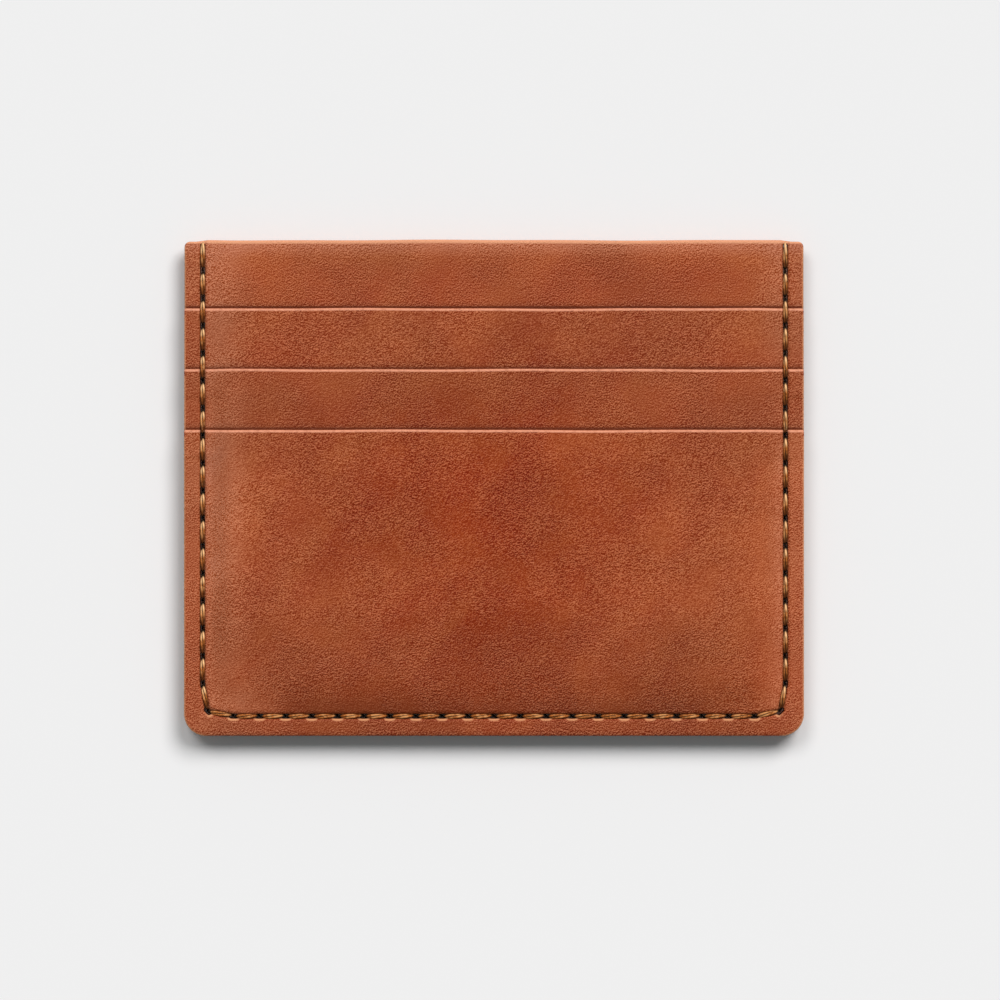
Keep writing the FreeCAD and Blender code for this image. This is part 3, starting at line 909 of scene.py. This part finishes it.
def rim_slots_between(tail, lip):
    """The rim seam's holes that go through a pocket's tabs."""
    return [s for s in RIM_SLOTS if s[0][1] < lip - 0.2 and s[1][1] > tail + 0.2]


def tee(lip, tail, hem, side):
    """The outline of a slip pocket: a wide head over a narrower stem."""
    foot = hem - HEM_ALLOWANCE
    return mirrored_outline([
        (STEM, foot, 1.0), (STEM, tail, 0.8), (side, tail, 0.6), (side, lip, LIP_RADIUS),
    ])


def slip_shape(x, y, hem, tail, loose_outside, under):
    """A slip pocket's outside and thickness: pressed in the rim, and loose inside the seam."""
    loose = HEMMED + (loose_outside - HEMMED) * smooth(hem + HEM_HELD, hem + HEM_FREE, y)
    held = np.where(y < tail, SLIP, tab_thickness(y, tail))
    rim = HIDE + under + held
    share = looseness(x)
    return rim + share * (loose - rim), held + share * (SLIP - held)


def upper_shape(x, y):
    return slip_shape(x, y, UPPER_HEM, UPPER_TAIL, UPPER_LOOSE, 0.0)


upper_outline = tee(UPPER_LIP, UPPER_TAIL, UPPER_HEM, SIDE - 0.04)
MIDDLE_LIP = UPPER_LIP - LIP_STEP
uppers = leather_piece(
    "upper_pocket_leather",
    upper_outline,
    rim_slots_between(UPPER_TAIL, UPPER_LIP) + hem_slots(UPPER_HEM),
    (MIDDLE_LIP, UPPER_LIP),
    upper_shape,
    UPPER_LIP,
)
finish_leather(
    uppers, "upper_pocket", (0.13, 0.05, 0.0), tone=0.95, crevice_shade_share=0.6,
)


# -------------------- the middle pockets
# The same T of thin leather, one lip step lower. Its tabs lie over the upper pocket's tabs,
# and its stem reaches one step further down.

MIDDLE_TAIL = MIDDLE_LIP - TAB
MIDDLE_LOOSE = 2.4


def middle_shape(x, y):
    under = tab_under(y, UPPER_TAIL)
    return slip_shape(x, y, MIDDLE_HEM, MIDDLE_TAIL, MIDDLE_LOOSE, under)


middle_outline = tee(MIDDLE_LIP, MIDDLE_TAIL, MIDDLE_HEM, SIDE - 0.02)
LOWER_LIP = MIDDLE_LIP - LIP_STEP
middles = leather_piece(
    "middle_pocket_leather",
    middle_outline,
    rim_slots_between(MIDDLE_TAIL, MIDDLE_LIP) + hem_slots(MIDDLE_HEM),
    (LOWER_LIP, MIDDLE_LIP),
    middle_shape,
    MIDDLE_LIP,
)
finish_leather(
    middles, "middle_pocket", (0.27, 0.11, 0.0), tone=0.91, crevice_shade_share=0.8,
)


# -------------------- the lower pockets
# A full-width rectangle of the same leather as the panels, with two rounded foot corners. It
# is sewn in on three sides and lies over all the rest, so it is the thickest, puffiest field.

LOWER_LOOSE = 3.35
HEM_CREST = 2.82  # its outside over the middle pocket's hem seam


def lower_shape(x, y):
    rise = (HEM_CREST - 2 * HIDE) * smooth(PARTING - 1.5, PARTED + 1.5, y)
    rise += (LOWER_LOOSE - HEM_CREST) * smooth(PARTED - 1, MIDDLE_HEM + HEM_FREE, y)
    rim = 2 * HIDE + tab_under(y, MIDDLE_TAIL)
    loose = 2 * HIDE + rise
    return rim + looseness(x) * (loose - rim), np.full(len(x), HIDE)


lower_outline = mirrored_outline([(SIDE, FOOT, FOOT_RADIUS), (SIDE, LOWER_LIP, LIP_RADIUS)])
lowers = leather_piece(
    "lower_pocket_leather",
    lower_outline,
    [s for s in RIM_SLOTS if max(s[0][1], s[1][1]) < LOWER_LIP - 0.2],
    (FOOT, LOWER_LIP),
    lower_shape,
    LOWER_LIP,
)
finish_leather(lowers, "lower_pocket", (0.4, 0.2, 0.0), on_top=True)


# -------------------- the hem seams
# Fine brown sewing thread, machine sewn in lockstitch through each upper and middle pocket's
# foot and the panel under it. It is hidden inside, so it keeps its plain round form.


def make_sewing_thread():
    material, tree, shader = new_material("brown_sewing_thread")
    place = add(tree, "ShaderNodeTexCoord").outputs["Object"]
    fibres = noise(tree, place, 5200.0, 2.0)
    colour = mix_colours(tree, fibres, (0.1, 0.034, 0.014), (0.24, 0.09, 0.04))
    tree.links.new(colour, shader.inputs["Base Color"])
    shader.inputs["Roughness"].default_value = 0.6
    bump = add(tree, "ShaderNodeBump", None, Height=fibres, Distance=0.00003)
    tree.links.new(bump.outputs[0], shader.inputs["Normal"])
    return material


sewing_thread = make_sewing_thread()
for node_name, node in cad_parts.items():
    if "_hem_" in node_name:
        node.data.materials.clear()
        node.data.materials.append(sewing_thread)


# -------------------- the rim seam
# Waxed two-ply thread in golden bronze, saddle sewn through all the layers. Each stitch lies
# in the groove, and both ends dive into their awl holes and meet the other face's thread.

PLY = 0.2  # radius of one ply
PLY_APART = 0.165  # from the thread's middle to each ply's middle
LOOP_Z = 0.34  # where the thread turns at the meeting plane
SIDE_BY_SIDE = 0.35  # turn of the plies at the middle of a stitch, where they lie flat
ARCH = 2 / 2.3  # how square the arch of a stitch is
END_REACH = 1.12  # the first and last stitch hide their short end holes
DIP = 0.3  # from a hole's middle to where the thread stands upright in it
SQUEEZED = 0.7  # the thread's size in a hole
FOOT_SLANT = 0.12  # how far a foot stitch lies slantwise at each end


def rim_surface(y):
    """Height of the pressed rim's outside, before it is grooved."""
    y = np.asarray(y, float)
    far = np.full(len(y), SIDE)
    height = panel_shape(far, y)[0]
    pockets = ((UPPER_LIP, upper_shape), (MIDDLE_LIP, middle_shape), (LOWER_LIP, lower_shape))
    for lip, shape in pockets:
        height = np.where(y < lip, shape(far, y)[0], height)
    return height


def laid_height(y):
    """Where the thread's middle runs: it bridges the steps at the pocket lips."""
    near = np.linspace(-1.3, 1.3, 27)
    reach = np.clip(y[:, None] + near, FOOT, MOUTH - 0.01)
    surface = rim_surface(reach.ravel()).reshape(reach.shape)
    weight = np.exp(-((near / 0.7) ** 2))
    mean = (surface * weight).sum(axis=1) / weight.sum()
    return np.maximum(mean, rim_surface(np.clip(y, FOOT, MOUTH - 0.01)) - 0.05) + 0.04


def thread_rings():
    """The thread's line as rings.

    Each is (x, y, z, sideways, turn, size, stitches along, which end of the stitch, to the
    nearest hole).
    """
    rings = []
    last = len(RIM_HOLES) - 2
    for stitch, (here, ahead) in enumerate(zip(RIM_HOLES, RIM_HOLES[1:])):
        start, end = here[:2], ahead[:2]
        pitch = np.linalg.norm(end - start)
        along = (end - start) / pitch
        across = np.array([-along[1], along[0]])
        reach = pitch / 2 - DIP
        angles = np.linspace(math.pi, 0, 25)
        s = np.sign(np.cos(angles)) * np.abs(np.cos(angles)) ** ARCH * reach
        at_end = (stitch == last) - (stitch == 0)  # the end of the stitch that ends the seam
        s = np.where(s * at_end > 0, s * END_REACH, s)
        rise = np.clip(np.sin(angles), 0, 1) ** ARCH
        slant = FOOT_SLANT * abs(along[0]) * s / reach
        flat = start + along * pitch / 2 + s[:, None] * along + slant[:, None] * across
        low = LOOP_Z + 0.1
        z = low + (laid_height(flat[:, 1]) - low) * rise
        for place, height, share in zip(flat, z, s / pitch):
            upward = 2 * share * along[1]
            gap = pitch * (0.5 - abs(share))
            if share * at_end > 0:
                gap += 0.6
            size = SQUEEZED + (1 - SQUEEZED) * smooth(0.3, 1.4, gap)
            turn = math.pi * share
            rings.append((*place, height, across, turn, size, stitch + share, upward, gap))
        if stitch < last:
            rings.append((*end, LOOP_Z, across, math.pi / 2, SQUEEZED, stitch + 0.5, 0.0, 0.0))
    return rings


def two_ply_outline(count):
    """Points round the cross-section of two round plies that lie together."""
    angles = np.linspace(0, 2 * math.pi, count, endpoint=False)
    off = PLY_APART * np.abs(np.cos(angles))
    size = off + np.sqrt(PLY**2 - (PLY_APART * np.sin(angles)) ** 2)
    return np.stack([size * np.cos(angles), size * np.sin(angles)], axis=1), angles


def sew(name, up):
    """One thread of the rim seam, on the front (up = 1) or the back (up = -1)."""
    outline, angles = two_ply_outline(28)
    rings = thread_rings()
    middles = np.array([ring[:3] for ring in rings])
    tangents = np.gradient(middles, axis=0)
    tangents /= np.linalg.norm(tangents, axis=1)[:, None]
    corners, shaded_in_hole, lengths, ends = [], [], [], []
    for (x, y, z, across, turn, size, along, upward, gap), tangent in zip(rings, tangents):
        side = np.array([*across, 0.0])
        side -= tangent * (side @ tangent)
        side /= np.linalg.norm(side)
        rise = np.cross(side, tangent)
        turn += SIDE_BY_SIDE
        u = outline[:, 0] * math.cos(turn) - outline[:, 1] * math.sin(turn)
        v = outline[:, 0] * math.sin(turn) + outline[:, 1] * math.cos(turn)
        corners += list([x, y, z] + size * (u[:, None] * side + v[:, None] * rise))
        # Painted shade: the thread goes black where it dives into its hole.
        under = float(rim_surface([min(y, MOUTH - 0.01)])[0]) - z
        dark = max(1 - smooth(0.5, 0.86, gap), smooth(0.3, 0.6, under))
        shaded_in_hole += [float(dark)] * len(outline)
        lengths += [along] * len(outline)
        ends += [upward] * len(outline)
    corners = np.array(corners)
    corners[:, 2] = corners[:, 2] * up + MEETING_Z
    count = len(outline)
    faces = []
    for i in range(len(rings) - 1):
        for k in range(count):
            a, b = i * count + k, i * count + (k + 1) % count
            faces.append((a, b, b + count, a + count))
    faces.append(tuple(range(count))[::-1])
    faces.append(tuple(len(corners) - count + k for k in range(count)))
    if up > 0:
        faces = [f[:1] + f[:0:-1] for f in faces]
    marks = {
        "sunk_in_hole": shaded_in_hole,
        "stitches_along": lengths,
        "towards_mouth": ends,
        "ply_side": np.tile(np.cos(angles), len(rings)),
        "ply_top": np.tile(np.sin(angles), len(rings)),
    }
    return build_piece(name, corners, faces, marks)


# Linear colours of the waxed thread's fibres and wax, and of the painted highlight and painted
# shade on its stitches.
FIBRE_DARK = (0.2, 0.05, 0.008)
FIBRE_PALE = (0.55, 0.175, 0.038)
WAX = (0.8, 0.38, 0.14)
UPPER_END_HIGHLIGHT = (1.0, 0.62, 0.3)
LOWER_END_SHADE = (0.085, 0.02, 0.004)
PLY_GAP_SHADE = (0.025, 0.008, 0.002)
WAXED = 0.3  # the roughness of the waxed thread


def make_waxed_thread():
    """Golden bronze filament thread. Its fibres run slantwise round each ply, under the wax."""
    material, tree, shader = new_material("bronze_waxed_thread")
    place = add(tree, "ShaderNodeTexCoord").outputs["Object"]
    lay = add(
        tree, "ShaderNodeCombineXYZ", None,
        X=times(tree, mark(tree, "stitches_along"), 9.0),
        Y=mark(tree, "ply_side"),
        Z=mark(tree, "ply_top"),
    )
    fibres = noise(tree, lay.outputs[0], 1.6, 3.0)
    fibre = ramp(tree, fibres, (0.36, 0.0), (0.62, 1.0))
    colour = mix_colours(tree, fibre, FIBRE_DARK, FIBRE_PALE)
    wax = ramp(tree, noise(tree, place, 900.0, 1.0), (0.5, 0.0), (0.62, 0.6))
    colour = mix_colours(tree, wax, colour, WAX)
    # Painted highlight on each stitch's upper end, which faces the light, and painted shade on its
    # lower end.
    upward = mark(tree, "towards_mouth")
    upper_end = times(tree, rising(tree, upward, 0.08, 0.55), 0.75)
    colour = mix_colours(tree, upper_end, colour, UPPER_END_HIGHLIGHT)
    lower_end = times(tree, falling(tree, upward, -0.6, 0.1), 0.85)
    colour = mix_colours(tree, lower_end, colour, LOWER_END_SHADE)
    # Painted shade in the notch between the two plies.
    off_middle = math_node(tree, "ABSOLUTE", mark(tree, "ply_side"))
    between = times(tree, falling(tree, off_middle, 0.16, 0.58), 0.94)
    colour = mix_colours(tree, between, colour, PLY_GAP_SHADE)
    # Black painted shade where the thread dives into a hole.
    shaded_in_hole = mark(tree, "sunk_in_hole")
    colour = mix_colours(tree, shaded_in_hole, colour, HOLE_SHADE)
    tree.links.new(colour, shader.inputs["Base Color"])
    rough = scaled(tree, shaded_in_hole, 1.0 - WAXED, WAXED)
    tree.links.new(rough, shader.inputs["Roughness"])
    shader.inputs["Specular IOR Level"].default_value = 0.36
    shader.inputs["Specular Tint"].default_value = (1.0, 0.75, 0.42, 1)
    bump = add(tree, "ShaderNodeBump", None, Height=fibres, Distance=0.00005)
    tree.links.new(bump.outputs[0], shader.inputs["Normal"])
    return material


waxed_thread = make_waxed_thread()
for face, up in (("front", 1), ("back", -1)):
    thread = sew(f"{face}_rim_seam", up)
    thread.data.materials.append(waxed_thread)
    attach(thread, "root")
    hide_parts(f"{face}_rim_seam_thread")


# -------------------- table top
# A matt off-white table under the wallet, large enough to fill every view.

bpy.ops.mesh.primitive_plane_add(size=8.0, location=(0, 0, 0))
table_top = bpy.context.object
table_top.name = "table_top"
table_paint = bpy.data.materials.new("off_white_table")
table_paint.use_nodes = True
table_shader = table_paint.node_tree.nodes["Principled BSDF"]
PALENESS = 0.863
table_shader.inputs["Base Color"].default_value = (PALENESS, PALENESS, PALENESS, 1)
table_shader.inputs["Roughness"].default_value = 0.9
table_shader.inputs["Specular IOR Level"].default_value = 0.0
table_top.data.materials.append(table_paint)
bpy.ops.object.select_all(action="DESELECT")


# -------------------- light and camera
# Two broad lamps stand beyond the mouth, a strong one to the right and a weak one to the
# left, and the room fills in a little. The camera looks straight down through a long lens.

LAMP_WARMTH = (1.025, 1.0, 0.998)  # with the cooler room, white still shows as white
ROOM_COLOUR = (0.9, 1.0, 1.01)
ROOM_FILL = 0.2  # how brightly the room lights the wallet, while it shows as pale as the table


def hang_lamp(name, strength, spread, direction):
    """A broad even lamp. spread is how wide it looks from the wallet, in degrees."""
    data = bpy.data.lights.new(name, "SUN")
    data.energy = strength
    data.angle = math.radians(spread)
    data.color = LAMP_WARMTH
    lamp = bpy.data.objects.new(name, data)
    lamp.rotation_euler = Vector(direction).to_track_quat("Z", "Y").to_euler()
    bpy.context.scene.collection.objects.link(lamp)


hang_lamp("right_lamp", 2.18, 30, (0.44, 0.665, 1.0))
hang_lamp("left_lamp", 0.98, 26, (-0.3, 0.57, 1.0))

world = bpy.data.worlds.new("studio_room")
world.use_nodes = True
room = world.node_tree
backdrop = room.nodes["Background"]
seen = add(room, "ShaderNodeLightPath").outputs["Is Camera Ray"]
level = add(room, "ShaderNodeMapRange", None, Value=seen, in3=ROOM_FILL, in4=PALENESS)
room.links.new(level.outputs[0], backdrop.inputs["Strength"])
tint = mix_colours(room, seen, ROOM_COLOUR, (1.0, 1.0, 1.0))
room.links.new(tint, backdrop.inputs["Color"])
bpy.context.scene.world = world

camera_data = bpy.data.cameras.new("camera")
camera_data.lens = 400.0
camera_data.sensor_width = 36.0
camera_data.clip_end = 20.0
FIELD = 0.1611  # width of the field at the wallet's front face
CENTRE = (0.00097, -0.00194)
camera = bpy.data.objects.new("camera", camera_data)
front_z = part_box("front_lower_pocket")[1].z
height = FIELD * camera_data.lens / camera_data.sensor_width
camera.location = (*CENTRE, front_z + height)
camera.rotation_euler = (0, 0, 0)
bpy.context.scene.collection.objects.link(camera)
bpy.context.scene.camera = camera
bpy.context.scene.view_settings.view_transform = "Standard"

bpy.context.view_layer.update()
